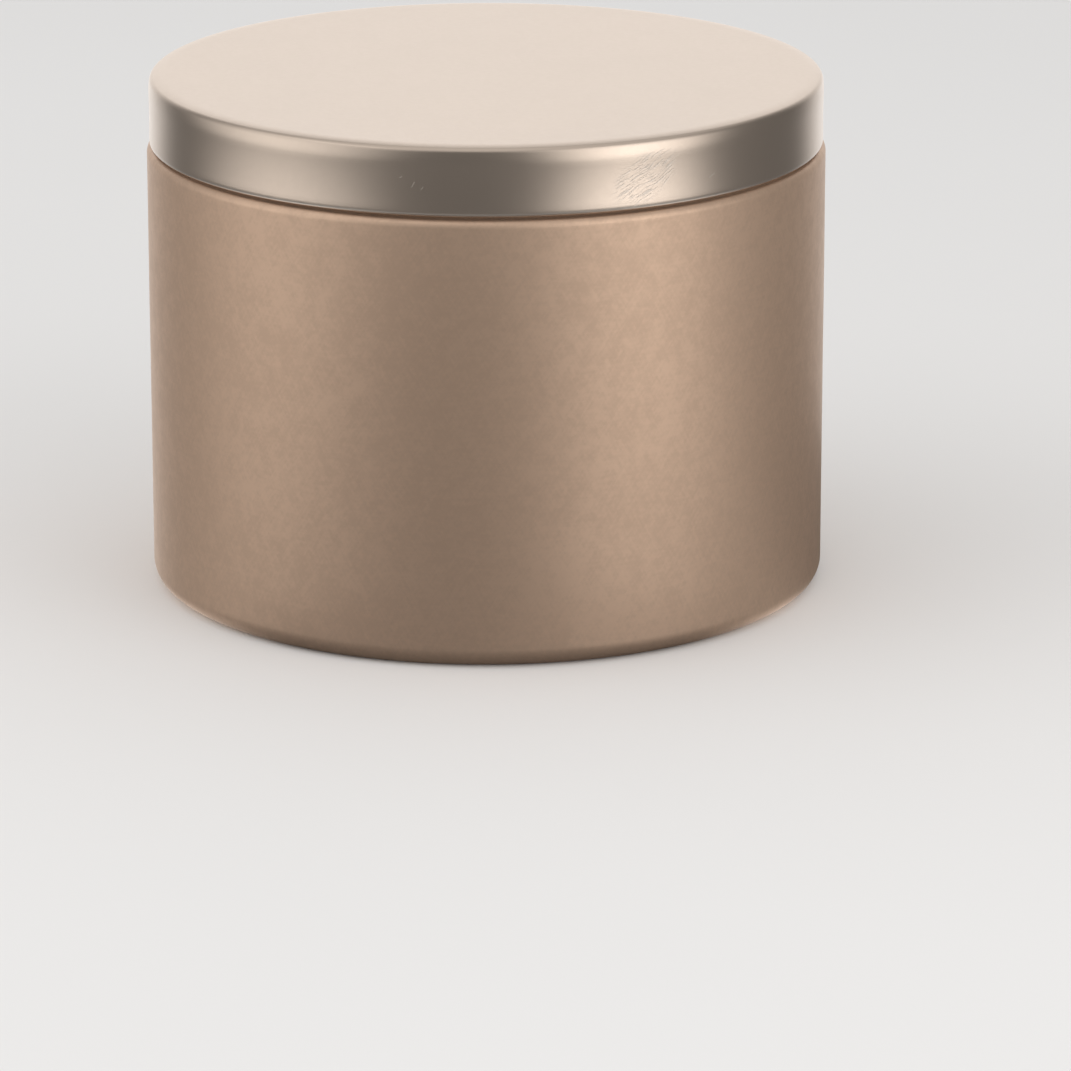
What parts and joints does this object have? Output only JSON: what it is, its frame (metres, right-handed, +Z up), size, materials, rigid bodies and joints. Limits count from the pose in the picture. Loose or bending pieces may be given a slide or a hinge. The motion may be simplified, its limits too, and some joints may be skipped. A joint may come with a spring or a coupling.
{
  "type": "candle tin",
  "caption": "Round seamless metal tin with a slip lid flush with its side, for pouring a candle into. The lid lifts off a stepped-in neck with a curled rim.",
  "frame": {"origin": "centre of the ring that the tin stands on, at the table", "axes": "+Z up along the tin's axis, towards the lid. The tin is round, so +X and +Y have no front"},
  "size_m": [0.08, 0.08, 0.061],
  "materials": {
    "can_lacquer": "satin",
    "lid_lacquer": "satin"
  },
  "bodies": {
    "tin": {"tin_body": "can_lacquer"},
    "lid": {"lid": "lid_lacquer"}
  },
  "joints": [
    {"name": "lid_lift", "type": "slide", "parent": "tin", "child": "lid", "axis": [0, 0, 1], "range_m": [0, 0.05]}
  ]
}
